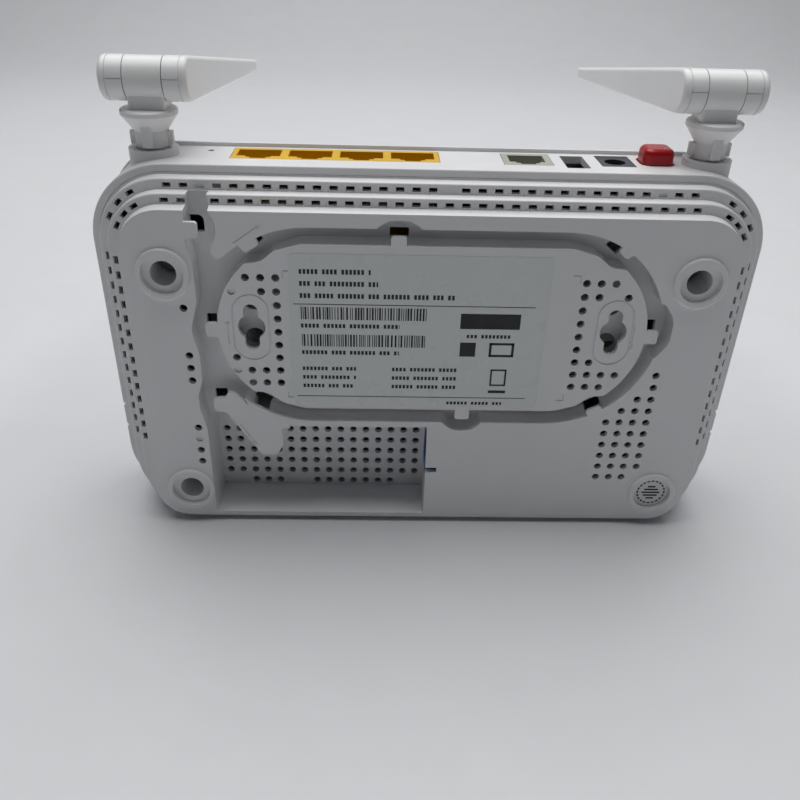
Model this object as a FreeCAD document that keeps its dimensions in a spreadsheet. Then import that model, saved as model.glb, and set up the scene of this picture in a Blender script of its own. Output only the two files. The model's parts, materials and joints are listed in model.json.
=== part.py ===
import FreeCAD, Part
import math
import os

import Sketcher

# Optical network terminal, standing on its lower edge: +Z up towards the port panel, the underside faces -Y,
# the big cover face looks to +Y, +X is to the right when the underside is seen.
# The origin is the middle of the flat lower edge. Millimetres.

Vector = FreeCAD.Vector
ALONG_X = Vector(1, 0, 0)
ALONG_Y = Vector(0, 1, 0)

doc = FreeCAD.newDocument("OpticalTerminal")
sheet = doc.addObject("Spreadsheet::Sheet", "Sizes")

SIZES = {
    # housing
    "body_width": 184.0,
    "body_height": 109.0,
    "body_round": 21.0,
    "cover_face": 17.0,
    "cover_wall": 2.0,
    "cover_edge_round": 2.0,
    "rim_round": 0.5,
    "lip_height": 1.0,
    "lip_depth": 2.8,
    "split_level": 5.4,
    "skirt_depth": 3.0,
    "skirt_gap": 0.1,
    "case_wall": 1.2,
    "case_floor": 1.6,
    "step_one_level": 9.5,
    "step_two_level": 13.3,
    "base_level": 17.0,
    "step_one_side": 3.0,
    "step_one_top": 2.6,
    "step_two_side": 6.2,
    "step_two_top": 5.4,
    "step_three_side": 9.4,
    "step_three_top": 8.1,
    "step_edge_round": 0.5,
    "foot_edge_round": 3.5,
    "border_wide": 3.2,
    "border_drop": 0.45,
    "case_bottom_wall": 3.0,
    "skirt_wall": 2.2,
    "post_radius": 3.4,
    "post_end": 3.2,
    "pilot_radius": 1.5,
    "pilot_depth": 12.0,
    "led_radius": 0.9,
    "notch_length": 9.0,
    # vents
    "vent_pitch": 4.0,
    "vent_radius": 1.1,
    "vent_depth": 2.0,
    "blind_depth": 0.6,
    "slot_pitch": 4.31,
    "slot_long": 2.2,
    "slot_wide": 1.2,
    "slot_inset": 1.7,
    # fibre channel and plateau
    "ring_centre_x": 1.0,
    "ring_centre_z": 67.1,
    "ring_half_span": 34.0,
    "ring_outer": 29.5,
    "ring_inner": 24.9,
    "channel_depth": 7.0,
    "tab_thickness": 1.2,
    # compartment
    "room_left": -64.3,
    "room_right": 0.7,
    "room_low": 3.6,
    "room_high": 36.0,
    "room_depth": 14.8,
    # feet with screw wells
    "foot_left": -71.2,
    "foot_right": 72.0,
    "foot_low": 12.6,
    "foot_high": 83.2,
    "foot_radius": 7.2,
    "foot_height": 1.2,
    "foot_dish_radius": 5.7,
    "foot_dish_depth": 1.6,
    "well_radius": 3.5,
    "well_tube_radius": 5.0,
    "well_floor": 5.2,
    "well_seat": 1.6,
    "screw_clearance": 1.7,
    # keyholes
    "key_spacing": 99.9,
    "key_height": 68.0,
    "key_round": 3.75,
    "key_slot": 2.0,
    "key_reach": 4.85,
    "key_ring": 5.2,
    "key_cup_depth": 5.2,
    "key_window": 2.6,
    "key_window_offset": 5.4,
    # port panel
    "lan_width": 56.4,
    "lan_depth": 10.9,
    "lan_length": 21.0,
    "lan_left": -54.6,
    "lan_front": 1.6,
    "lan_pitch": 13.97,
    "phone_left": 19.3,
    "phone_width": 13.3,
    "phone_front": 0.9,
    "phone_depth": 11.6,
    "phone_length": 16.0,
    "usb_left": 35.8,
    "usb_front": -1.3,
    "usb_width": 6.4,
    "usb_depth": 12.5,
    "usb_recess": 3.0,
    "jack_left": 45.9,
    "jack_front": 1.1,
    "jack_width": 9.2,
    "jack_depth": 11.0,
    "jack_length": 14.0,
    "button_x": 61.7,
    "button_y": 6.9,
    "button_side": 8.8,
    "button_top": 113.2,
    "button_travel": 2.5,
    "reset_x": -60.8,
    "reset_y": 9.2,
    "reset_hole": 0.9,
    # antennas
    "antenna_x": 75.3,
    "antenna_y": 5.2,
    "boss_radius": 6.55,
    "boss_top": 110.8,
    "boss_bottom": 101.0,
    "bore_radius": 3.3,
    "stub_radius": 3.24,
    "neck_radius": 4.5,
    "rib_radius": 5.7,
    "side_rib_top": 115.0,
    "front_rib_top": 117.0,
    "cup_radius": 7.5,
    "cone_low": 115.3,
    "cone_high": 119.4,
    "cup_top": 120.8,
    "hinge_height": 128.0,
    "barrel_radius": 5.6,
    "hinge_inset": 0.6,
    "knuckle_width": 9.6,
    "barrel_length": 22.6,
    "barrel_end_round": 1.2,
    "cap_line": 1.9,
    "line_wide": 0.25,
    "pin_radius": 2.0,
    "pin_bore": 2.05,
    "blade_length": 122.0,
    "blade_tip": 3.8,
    "blade_wall": 1.1,
    "fold_droop": 6.8,
    # board
    "board_back": 12.6,
    "board_thickness": 1.2,
    "board_hole_radius": 4.0,
    # small parts
    "film_thickness": 0.15,
    "seal_radius": 5.4,
    "screw_radius": 1.45,
    "screw_length": 13.5,
    "screw_head_radius": 2.8,
    "screw_head_depth": 2.0,
    "socket_depth": 15.0,
    "phone_socket_depth": 12.0,
    "contact_pitch": 1.02,
    "usb_length": 14.0,
    "jack_bore_radius": 2.9,
    "jack_bore_depth": 9.5,
    "jack_pin_radius": 1.0,
    "button_flange": 1.0,
    "button_round": 1.6,
    "reset_plunger_radius": 1.2,
    "reset_plunger_length": 1.2,
    "adapter_flange": 1.2,
    "adapter_length": 22.0,
    "heatsink_base": 1.2,
    "heatsink_fin": 6.0,
    "light_strip": 0.7,
    "light_stud_radius": 0.84,
    "stub_groove_radius": 2.6,
    "lead_hole_radius": 1.3,
}

# Plain blocks: size along X, Y and Z.
BLOCKS = {
    "usb_tongue": (1.9, 10.6, 8.6),
    "power_switch_case": (8.4, 8.4, 9.0),
    "power_switch_well": (3.4, 3.4, 3.2),
    "power_plunger": (3.0, 3.0, 6.68),
    "reset_switch_case": (4.4, 4.4, 4.0),
    "reset_switch_well": (3.0, 3.0, 1.2),
    "optical_transceiver": (16.0, 8.4, 11.0),
    "soc_chip": (23.0, 1.6, 23.0),
    "rf_shield_left": (30.0, 3.0, 34.0),
    "rf_shield_right": (36.0, 3.0, 34.0),
    "antenna_radiator_left": (20.0, 96.0, 0.8),
    "antenna_radiator_right": (20.0, 96.0, 0.8),
}
for block_label, block_sides in BLOCKS.items():
    for side_name, side_value in zip(("across", "deep", "tall"), block_sides):
        SIZES[block_label + "_" + side_name] = side_value

for row_number, (alias, value) in enumerate(SIZES.items(), start=1):
    sheet.set("A%d" % row_number, alias)
    sheet.set("B%d" % row_number, str(value))
    sheet.setAlias("B%d" % row_number, alias)
doc.recompute()


def size(alias):
    return float(sheet.get(alias))


def cell(text):
    """Turn plain aliases in an expression into references to the sheet."""
    words = text.split()
    return " ".join("Sizes." + word if word in SIZES else word for word in words)


# ---------------------------------------------------------------- sketching and feature helpers

def new_body(label):
    body = doc.addObject("PartDesign::Body", "Body_" + label)
    body.Label = label
    return body


def origin_plane(body, role):
    return next(item for item in body.Origin.OriginFeatures if item.Role == role)


def new_sketch(body, name, role="XZ_Plane", level="0"):
    """A sketch parallel to an origin plane; level is its height along the plane's own normal."""
    sketch = body.newObject("Sketcher::SketchObject", name)
    sketch.AttachmentSupport = [(origin_plane(body, role), "")]
    sketch.MapMode = "FlatFace"
    sketch.setExpression("AttachmentOffset.Base.z", cell(level))
    return sketch


def rounded_corner(before, corner, after):
    """Tangent points and centre of the arc that rounds one corner of an outline."""
    x, z, radius = corner
    into = Vector(x - before[0], z - before[1], 0)
    away = Vector(after[0] - x, after[1] - z, 0)
    into.normalize()
    away.normalize()
    turn = into.getAngle(away)
    if radius == 0 or turn < 1e-6:
        point = Vector(x, z, 0)
        return point, None, point
    reach = radius * math.tan(turn / 2)
    start = Vector(x, z, 0) - into * reach
    end = Vector(x, z, 0) + away * reach
    bisector = away - into
    bisector.normalize()
    centre = Vector(x, z, 0) + bisector * (radius / math.cos(turn / 2))
    middle = centre - bisector * radius
    return start, middle, end


def outline(corners):
    """Lines and arcs of a closed outline given as (across, up, corner radius)."""
    count = len(corners)
    rounds = []
    for index, corner in enumerate(corners):
        rounds.append(rounded_corner(corners[index - 1], corner, corners[(index + 1) % count]))
    edges = []
    for index, (start, middle, end) in enumerate(rounds):
        if middle is not None:
            edges.append(Part.Arc(start, middle, end))
        following = rounds[(index + 1) % count][0]
        if (following - end).Length > 1e-4:
            edges.append(Part.LineSegment(end, following))
    return edges


def draw(sketch, *outlines):
    for corners in outlines:
        sketch.addGeometry(outline(corners), False)
    return sketch


def box_corners(left, low, right, high, radius=0.0):
    return [(left, low, radius), (right, low, radius), (right, high, radius), (left, high, radius)]


def draw_circles(sketch, centres, radius_alias):
    """Circles of one radius, held equal, with the first one's radius read from the sheet."""
    radius = size(radius_alias)
    for x, z in centres:
        sketch.addGeometry(Part.Circle(Vector(x, z, 0), Vector(0, 0, 1), radius), False)
    if len(centres) > 1:
        sketch.addConstraint([Sketcher.Constraint("Equal", 0, index) for index in range(1, len(centres))])
    first = sketch.addConstraint(Sketcher.Constraint("Radius", 0, radius))
    sketch.setExpression("Constraints[%d]" % first, cell(radius_alias))
    return sketch


def draw_panel_outline(sketch, width, low, high, top_round, low_round):
    """A constrained upright rounded rectangle, centred on x = 0; every size is an expression."""
    half = 60.0
    floor = 10.0
    roof = 90.0
    corner = 10.0
    inner = half - corner
    points = [
        (Vector(-inner, floor, 0), Vector(inner, floor, 0)),
        (Vector(half, floor + corner, 0), Vector(half, roof - corner, 0)),
        (Vector(inner, roof, 0), Vector(-inner, roof, 0)),
        (Vector(-half, roof - corner, 0), Vector(-half, floor + corner, 0)),
    ]
    centres = [
        (Vector(inner, floor + corner, 0), -90),
        (Vector(inner, roof - corner, 0), 0),
        (Vector(-inner, roof - corner, 0), 90),
        (Vector(-inner, floor + corner, 0), 180),
    ]
    geometry = []
    for (start, end), (centre, angle) in zip(points, centres):
        geometry.append(Part.LineSegment(start, end))
        circle = Part.Circle(centre, Vector(0, 0, 1), corner)
        geometry.append(Part.ArcOfCircle(circle, math.radians(angle), math.radians(angle + 90)))
    sketch.addGeometry(geometry, False)
    held = [Sketcher.Constraint("Tangent", index, 2, (index + 1) % 8, 1) for index in range(8)]
    held += [Sketcher.Constraint("Horizontal", 0)]
    held += [Sketcher.Constraint("Vertical", 2), Sketcher.Constraint("Vertical", 6)]
    held += [Sketcher.Constraint("Symmetric", 2, 2, 6, 1, -2)]
    held += [Sketcher.Constraint("Equal", 1, 7), Sketcher.Constraint("Equal", 3, 5)]
    sketch.addConstraint(held)
    bind(sketch, Sketcher.Constraint("DistanceY", -1, 1, 4, 1, roof), high)
    rise = "( %s ) - ( %s )" % (high, low)
    bind(sketch, Sketcher.Constraint("DistanceY", 0, 1, 4, 2, roof - floor), rise)
    bind(sketch, Sketcher.Constraint("DistanceX", 6, 1, 2, 1, 2 * half), width)
    bind(sketch, Sketcher.Constraint("Radius", 3, corner), top_round)
    bind(sketch, Sketcher.Constraint("Radius", 1, corner), low_round)
    doc.recompute()
    spread = sketch.Shape.BoundBox
    if abs(spread.XMin + spread.XMax) > 1e-4:
        raise ValueError("%s is not centred" % sketch.Name)
    return sketch


def bind(sketch, constraint, expression):
    index = sketch.addConstraint(constraint)
    sketch.setExpression("Constraints[%d]" % index, cell(expression))


def add_feature(body, kind, name, sketch, length, backwards=False, grows=True):
    """A Pad or Pocket whose length comes from the sheet; its effect on the volume is checked."""
    before = body.Shape.Volume if body.Tip else 0.0
    feature = body.newObject("PartDesign::" + kind, name)
    feature.Profile = sketch
    feature.setExpression("Length", cell(length))
    feature.Reversed = backwards
    feature.Refine = False
    doc.recompute()
    after = feature.Shape.Volume
    if (after - before) * (1 if grows else -1) <= 1e-6:
        raise ValueError("%s did not change the solid as it should" % name)
    return feature


def pad(body, name, sketch, length, backwards=False):
    return add_feature(body, "Pad", name, sketch, length, backwards, True)


def pocket(body, name, sketch, length, backwards=False):
    return add_feature(body, "Pocket", name, sketch, length, backwards, False)


def round_edges(body, name, wanted, radius):
    """Fillet the tip's edges that the test picks."""
    tip = body.Tip
    names = ["Edge%d" % (i + 1) for i, edge in enumerate(tip.Shape.Edges) if wanted(edge)]
    fillet = body.newObject("PartDesign::Fillet", name)
    fillet.Base = (tip, names)
    fillet.setExpression("Radius", cell(radius))
    doc.recompute()
    return fillet


def on_level(edge, axis, level):
    """True when a whole edge lies at one height along an axis."""
    box = edge.BoundBox
    low = {"x": box.XMin, "y": box.YMin, "z": box.ZMin}[axis]
    high = {"x": box.XMax, "y": box.YMax, "z": box.ZMax}[axis]
    return abs(low - level) < 1e-3 and abs(high - level) < 1e-3


def box_node(label, corner):
    """A plain block whose sides are read from the sheet."""
    block = doc.addObject("Part::Box", label)
    block.Label = label
    for side, prop in zip(("across", "deep", "tall"), ("Length", "Width", "Height")):
        block.setExpression(prop, cell(label + "_" + side))
    block.Placement = FreeCAD.Placement(Vector(*corner), FreeCAD.Rotation())
    return block


def welled_block(label, corner, well_corner):
    """A plain block with a square well sunk into its top."""
    case = box_node(label + "_case", corner)
    well = box_node(label + "_well", well_corner)
    node = doc.addObject("Part::Cut", label)
    node.Label = label
    node.Base = case
    node.Tool = well
    return node


def group_node(label, solids):
    """Several identical separate pieces kept as one node."""
    group = doc.addObject("Part::Feature", label)
    group.Label = label
    group.Shape = Part.makeCompound(solids)
    return group


def mirrored_name(side):
    return "left" if side < 0 else "right"


# ---------------------------------------------------------------- top cover

def cover_cutouts():
    """Openings of the port panel: (left, front, right, back, corner radius)."""
    fit = 0.15
    cuts = []
    for name in ("lan", "phone", "jack"):
        left = size(name + "_left") - fit
        front = size(name + "_front") - fit
        right = left + size(name + "_width") + 2 * fit
        back = front + size(name + "_depth") + 2 * fit
        cuts.append((left, front, right, back, 0.2))
    usb_right = size("usb_left") + size("usb_width")
    usb_back = size("usb_front") + size("usb_depth")
    cuts.append((size("usb_left"), size("usb_front"), usb_right, usb_back, 0.4))
    half = size("button_side") / 2 + 0.35
    x, y = size("button_x"), size("button_y")
    cuts.append((x - half, y - half, x + half, y + half, 2.9))
    return cuts


def post_places():
    """The four corner screws, left to right and low to high."""
    heights = (size("foot_low"), size("foot_high"))
    return [(x, z) for x in (size("foot_left"), size("foot_right")) for z in heights]


def led_places():
    first, step, count = -62.0, 9.0, 9
    return [(first + step * index, 9.0) for index in range(count)]


def side_notches():
    """V notches in each side wall of the cover, as outlines in the plane of the big face."""
    half = size("body_width") / 2
    reach, depth = 1.1, 1.0
    notches = []
    for side in (-1, 1):
        for z in (28.1, 35.7):
            edge = side * (half + 0.5)
            notches.append([(edge, z - reach, 0), (edge, z + reach, 0), (side * (half - depth), z, 0)])
    return notches


def build_top_cover():
    body = new_body("top_cover")
    shell = new_sketch(body, "cover_outline", level="- cover_face")
    draw_panel_outline(shell, "body_width", "0", "body_height", "body_round", "body_round")
    pad(body, "cover_block", shell, "cover_face + split_level")
    lip = new_sketch(body, "lip_outline", level="- cover_face")
    draw_panel_outline(lip, "body_width", "0", "body_height + lip_height", "body_round", "body_round")
    pad(body, "cover_lip", lip, "lip_depth")
    face, split = size("cover_face"), -size("split_level")
    round_edges(body, "cover_rounding", lambda edge: on_level(edge, "y", face), "cover_edge_round")
    round_edges(body, "rim_rounding", lambda edge: on_level(edge, "y", split), "rim_round")
    inside = new_sketch(body, "cover_inside", level="split_level")
    draw_panel_outline(
        inside, "body_width - 2 * cover_wall", "cover_wall", "body_height - cover_wall",
        "body_round - cover_wall", "body_round - cover_wall",
    )
    pocket(body, "cover_hollow", inside, "cover_face + split_level - cover_wall")
    bosses = new_sketch(body, "boss_circles", "XY_Plane", "boss_top")
    places = [(side * size("antenna_x"), size("antenna_y")) for side in (-1, 1)]
    draw_circles(bosses, places, "boss_radius")
    pad(body, "antenna_bosses", bosses, "boss_top - boss_bottom", backwards=True)
    bores = new_sketch(body, "bore_circles", "XY_Plane", "boss_top")
    draw_circles(bores, places, "bore_radius")
    pocket(body, "antenna_bores", bores, "boss_top - boss_bottom + 1")
    ports = new_sketch(body, "panel_openings", "XY_Plane", "body_height + 1")
    draw(ports, *[box_corners(*cut) for cut in cover_cutouts()])
    pocket(body, "panel_cutouts", ports, "cover_wall + 1.5")
    reset = new_sketch(body, "reset_circle", "XY_Plane", "body_height + 1")
    draw_circles(reset, [(size("reset_x"), size("reset_y"))], "reset_hole")
    pocket(body, "reset_opening", reset, "cover_wall + 1.5")
    posts = new_sketch(body, "post_circles", level="cover_wall - cover_face")
    draw_circles(posts, post_places(), "post_radius")
    pad(body, "screw_posts", posts, "cover_face - cover_wall + post_end")
    pilots = new_sketch(body, "pilot_circles", level="post_end")
    draw_circles(pilots, post_places(), "pilot_radius")
    pocket(body, "screw_pilots", pilots, "pilot_depth")
    windows = new_sketch(body, "led_windows", level="- cover_face - 1")
    draw_circles(windows, led_places(), "led_radius")
    pocket(body, "led_openings", windows, "cover_wall + 1.5", backwards=True)
    notches = new_sketch(body, "notch_outlines", level="split_level")
    draw(notches, *side_notches())
    pocket(body, "side_notches", notches, "notch_length")
    return body


# ---------------------------------------------------------------- bottom case

def ring_corners(radius, half_height):
    """A stadium about the ring centre."""
    x, z = size("ring_centre_x"), size("ring_centre_z")
    reach = size("ring_half_span") + radius
    corner = min(radius, half_height)
    return box_corners(x - reach, z - half_height, x + reach, z + half_height, corner)


def plateau_corners(shrink=0.0):
    """The raised middle: a stadium with a concave bite at each of its four corners."""
    x, z = size("ring_centre_x"), size("ring_centre_z")
    quarter = [
        (59.2 - shrink, 10.6 - 0.41 * shrink, 25.0 - shrink), (50.6 - 0.7 * shrink, 19.4 - shrink, 1.5),
        (46.6 - 0.5 * shrink, 19.8 - shrink, 4.0), (42.6 - 0.5 * shrink, 23.0 - shrink, 2.0),
        (36.0 - 0.2 * shrink, size("ring_inner") - shrink, 8.0),
    ]
    right_top = [(x + px, z + pz, r) for px, pz, r in quarter]
    left_top = [(x - px, z + pz, r) for px, pz, r in reversed(quarter)]
    left_low = [(x - px, z - pz, r) for px, pz, r in quarter]
    right_low = [(x + px, z - pz, r) for px, pz, r in reversed(quarter)]
    return right_top + left_top + left_low + right_low


def bulge_corners(place, out, wide, reach):
    """A shallow widening of the ring's outer wall at a hook; out is the direction away from the ring."""
    x, z = place
    if out[1] != 0:
        up = out[1]
        return [
            (x - wide, z - up * 2.0, 0), (x + wide, z - up * 2.0, 0),
            (x + wide, z, 2.5), (x + wide * 0.45, z + up * reach, 4.0),
            (x - wide * 0.45, z + up * reach, 4.0), (x - wide, z, 2.5),
        ]
    right = out[0]
    return [
        (x - right * 3.0, z - wide, 0), (x, z - wide, 3.0),
        (x + right * reach, z - wide * 0.45, 6.0), (x + right * reach, z + wide * 0.45, 6.0),
        (x, z + wide, 3.0), (x - right * 3.0, z + wide, 0),
    ]


def branch_corners():
    """The left branch of the channel: from the exit groove down into the compartment."""
    return [
        (-63.7, 104.4, 0), (-64.4, 97.0, 0), (-64.4, 92.0, 3.0), (-63.2, 86.0, 6.0), (-63.2, 75.0, 6.0),
        (-65.6, 67.0, 8.0), (-64.0, 59.0, 8.0), (-64.2, 51.0, 6.0), (-65.7, 46.0, 6.0), (-65.7, 41.5, 6.0),
        (-64.4, 35.0, 0), (-50.0, 35.0, 0), (-52.0, 44.0, 0), (-60.0, 60.0, 0), (-60.0, 76.0, 0),
        (-49.5, 89.5, 0), (-50.8, 91.7, 0), (-56.5, 87.3, 1.2), (-58.4, 89.4, 1.5), (-56.3, 94.0, 4.0),
        (-56.3, 97.4, 4.0), (-58.5, 101.8, 2.0), (-58.5, 104.4, 0),
    ]


def hook_tabs():
    """Tabs over the channel that keep the fibre in: outlines at the level of the underside."""
    return [
        [(-11.2, 90.6, 0), (-7.1, 90.6, 0), (-7.1, 94.6, 0.8), (-11.2, 94.6, 0.8)],
        [(-49.8, 94.0, 0), (-50.9, 91.7, 0), (-49.2, 89.3, 0.8), (-45.4, 91.8, 0.8), (-46.8, 94.4, 0)],
        [(48.6, 91.7, 0.8), (51.0, 89.4, 0.8), (53.9, 91.6, 0), (51.0, 94.8, 0)],
        [(58.0, 64.7, 0), (63.6, 64.7, 0.8), (63.6, 68.7, 0.8), (58.0, 68.7, 0)],
        [(-56.0, 64.9, 0), (-61.5, 64.9, 0.8), (-61.5, 69.1, 0.8), (-56.0, 69.1, 0)],
        [(-51.4, 40.6, 0), (-49.7, 44.2, 0.8), (-46.2, 42.8, 0.8), (-46.8, 38.4, 0)],
        [(8.5, 44.0, 0), (8.5, 39.0, 0.8), (12.7, 39.0, 0.8), (12.7, 44.0, 0)],
        [(53.8, 40.4, 0), (50.6, 37.6, 0), (46.8, 42.0, 0.8), (51.0, 44.2, 0.8)],
        [(-66.0, 93.1, 0), (-61.0, 93.1, 0.8), (-61.0, 97.4, 0.8), (-66.0, 97.4, 0)],
    ]


def tongue_corners():
    """The wide tongue that covers the way from the channel into the compartment."""
    return [
        (-61.4, 45.0, 1.0), (-58.2, 45.2, 0.5), (-57.0, 47.2, 0.8), (-55.0, 46.6, 1.2), (-50.8, 41.8, 0.5),
        (-46.0, 38.4, 0), (-40.0, 37.6, 0), (-40.0, 35.0, 0), (-42.3, 35.0, 0.4), (-42.3, 29.0, 2.5),
        (-44.2, 25.5, 2.2), (-48.6, 25.5, 2.0), (-58.2, 40.4, 0.6), (-61.7, 40.9, 1.2),
    ]


def window_outlines():
    """Openings under each tab, through the channel floor and the foot of the wall."""
    return [
        box_corners(-11.5, 92.1, -6.4, 94.8, 0.2),
        [(-49.8, 92.8, 0), (-50.6, 91.0, 0), (-47.4, 88.8, 0.2), (-45.2, 91.0, 0.2), (-46.6, 93.0, 0)],
        [(46.8, 91.0, 0.2), (50.0, 88.4, 0.2), (52.6, 91.0, 0), (49.0, 93.4, 0)],
        box_corners(61.0, 64.4, 64.8, 69.0, 0.2),
        box_corners(-62.5, 64.8, -59.6, 68.8, 0.2),
        [(-51.0, 41.5, 0.2), (-49.6, 44.2, 0.2), (-45.3, 41.6, 0.2), (-46.8, 38.9, 0.2)],
        box_corners(8.4, 38.9, 12.8, 41.9, 0.2),
        [(47.3, 41.2, 0.2), (51.8, 43.6, 0.2), (53.4, 40.8, 0.2), (49.1, 38.3, 0.2)],
        [(-64.2, 92.5, 0), (-60.5, 92.5, 0.2), (-60.5, 97.2, 1.6), (-64.2, 97.2, 0)],
        box_corners(-62.3, 41.1, -58.7, 44.5, 0.2),
    ]


def vent_places(origin, rows):
    """Holes of a square grid; rows maps a row number to its columns."""
    pitch = size("vent_pitch")
    return [(origin[0] + col * pitch, origin[1] - row * pitch) for row, cols in rows.items() for col in cols]


def underside_vents():
    right_field = {0: [3], 1: [3], 2: [2, 3], 3: [1, 2, 3]}
    right_field.update({row: [0, 1, 2, 3] for row in range(4, 9)})
    right_field[9] = [0, 1, 2]
    plateau_right = {0: [0, 1, 2], 1: [0, 1, 3], 6: [0, 1], 7: [0, 1, 2, 3], 8: [0, 1, 2]}
    plateau_right.update({row: [0] for row in range(2, 6)})
    plateau_left = {0: [0, 1, 2], 1: [1, 2], 6: [-1, 2], 7: [0, 1, 2], 8: [0, 1, 2]}
    plateau_left.update({row: [2] for row in range(2, 6)})
    strip = {0: [0], 1: [0], 2: [0], 6: [0], 8: [0], 9: [0]}
    places = vent_places((53.6, 54.5), right_field)
    places += vent_places((41.5, 82.5), plateau_right)
    places += vent_places((-49.7, 82.6), plateau_left)
    places += vent_places((-66.9, 58.9), strip)
    places.append((-66.9, 73.4))
    return places


def blind_vents():
    return [(-53.7, 78.6), (-53.7, 54.6), (-66.9, 30.9)]


def floor_vents():
    rows = {row: list(range(16)) for row in range(5)}
    rows[5] = [2, 3, 4] + list(range(7, 14))
    return vent_places((-61.8, 25.2), rows)


def slot_at(x, z, angle):
    """One small rectangular vent of a terrace, turned to follow its row."""
    long, wide = size("slot_long") / 2, size("slot_wide") / 2
    cosine, sine = math.cos(angle), math.sin(angle)
    corners = [(-long, -wide), (long, -wide), (long, wide), (-long, wide)]
    return [(x + a * cosine - b * sine, z + a * sine + b * cosine, 0) for a, b in corners]


def slot_row(side_inset, top_inset, shift, missing):
    """Vents up one side, along the top and down the other; the top ones are numbered from the middle."""
    inset = size("slot_inset")
    half = size("body_width") / 2 - side_inset - inset
    top = size("body_height") - top_inset - inset
    radius = size("body_round") - (side_inset + top_inset) / 2 - inset
    pitch = size("slot_pitch")
    slots = [slot_at(index * pitch + shift, top, 0.0) for index in range(-16, 17) if index not in missing]
    for side in (-1, 1):
        for degrees in (60, 45, 29):
            angle = math.radians(degrees)
            x = half - radius + radius * math.cos(angle)
            z = top - radius + radius * math.sin(angle)
            slots.append(slot_at(side * x, z, side * (angle - math.pi / 2)))
        for index in range(14):
            slots.append(slot_at(side * half, top - radius - 3.0 - index * pitch, math.pi / 2))
    return slots


def step_outline(body, name, level, side, top, low):
    sketch = new_sketch(body, name, level=level)
    draw_panel_outline(
        sketch, "body_width - 2 * ( %s )" % side, low, "body_height - ( %s )" % top,
        "body_round - ( ( %s ) + ( %s ) ) / 2" % (side, top), "body_round - ( %s )" % side,
    )
    return sketch


def slope_border(body):
    """The broad, barely sloped border of the lowest face."""
    tip = body.Tip
    level = -size("base_level")
    names = ["Edge%d" % (i + 1) for i, edge in enumerate(tip.Shape.Edges) if on_level(edge, "y", level)]
    border = body.newObject("PartDesign::Chamfer", "base_border")
    border.Base = (tip, names)
    border.ChamferType = "Two distances"
    border.setExpression("Size", cell("border_wide"))
    border.setExpression("Size2", cell("border_drop"))
    doc.recompute()


def build_case_shell(body):
    """Skirt, three terraces and the hollow inside them."""
    names = ("one", "two", "three")
    levels = ("split_level", "step_one_level", "step_two_level", "base_level")
    lows = ("0", "0.6", "1.2")
    for index, name in enumerate(names):
        side, top = "step_%s_side" % name, "step_%s_top" % name
        sketch = step_outline(body, "terrace_" + name, levels[index], side, top, lows[index])
        pad(body, "terrace_block_" + name, sketch, levels[index + 1] + " - " + levels[index])
        level = -size(levels[index + 1])
        if name != "three":
            round_edges(
                body, "terrace_round_" + name, lambda edge: on_level(edge, "y", level), "step_edge_round",
            )
    slope_border(body)
    skirt = step_outline(
        body, "skirt_outline", "split_level", "cover_wall + skirt_gap", "cover_wall + skirt_gap",
        "cover_wall + skirt_gap",
    )
    pad(body, "skirt", skirt, "skirt_depth", backwards=True)
    hollow = step_outline(
        body, "skirt_inside", "split_level - skirt_depth", "cover_wall + skirt_gap + skirt_wall",
        "cover_wall + skirt_gap + skirt_wall", "cover_wall + skirt_gap + skirt_wall",
    )
    pocket(body, "skirt_hollow", hollow, "skirt_depth + 0.1", backwards=True)
    for index, name in enumerate(names):
        side = "step_%s_side + case_wall" % name
        top = "step_%s_top + case_wall" % name
        start = "split_level" if index == 0 else levels[index] + " - case_floor"
        sketch = step_outline(body, "inside_" + name, start, side, top, "case_bottom_wall")
        length = "%s - case_floor - ( %s )" % (levels[index + 1], start)
        pocket(body, "hollow_" + name, sketch, length, backwards=True)


def build_case_inner_walls(body):
    """Solid backing for the compartment, the channel, the wells and the keyholes."""
    room = new_sketch(body, "room_block", level="base_level - case_floor")
    low = size("case_bottom_wall") + 0.2
    left, right = size("room_left") - 1.4, size("room_right") + 1.6
    draw(room, box_corners(left, low, right, size("room_high") + 1.4))
    pad(body, "room_walls", room, "room_depth", backwards=True)
    ring = new_sketch(body, "ring_block", level="base_level - case_floor")
    wall = 1.4
    draw(ring, ring_corners(size("ring_outer") + wall, size("ring_outer") + wall))
    pad(body, "ring_walls", ring, "channel_depth", backwards=True)
    branch = new_sketch(body, "branch_block", level="base_level - case_floor")
    draw(branch, [(x, z, 0) for x, z in (
        (-65.5, 34.0), (-67.0, 40.0), (-67.0, 46.0), (-65.3, 50.0), (-65.3, 60.0), (-66.8, 64.0),
        (-66.8, 69.0), (-65.2, 74.0), (-65.6, 88.0), (-65.8, 99.9), (-50.0, 99.9), (-50.0, 34.0),
    )])
    pad(body, "branch_walls", branch, "channel_depth", backwards=True)
    exit_block = new_sketch(body, "exit_block", level="step_two_level - case_floor")
    draw(exit_block, box_corners(-66.0, 98.0, -57.7, 102.8))
    pad(body, "exit_walls", exit_block, "case_floor + step_two_level - step_one_level - 2.1", backwards=True)
    bulge = new_sketch(body, "bulge_block", level="base_level - case_floor")
    draw(bulge, box_corners(-18.0, 90.0, 0.0, 100.6))
    draw(bulge, box_corners(60.0, 58.0, 69.4, 79.0))
    draw(bulge, box_corners(2.0, 32.0, 20.0, 42.0))
    pad(body, "bulge_walls", bulge, "channel_depth", backwards=True)
    under = new_sketch(body, "plateau_inside", level="base_level - case_floor - channel_depth")
    draw(under, plateau_corners(1.6))
    pocket(body, "plateau_hollow", under, "channel_depth", backwards=True)


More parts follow.
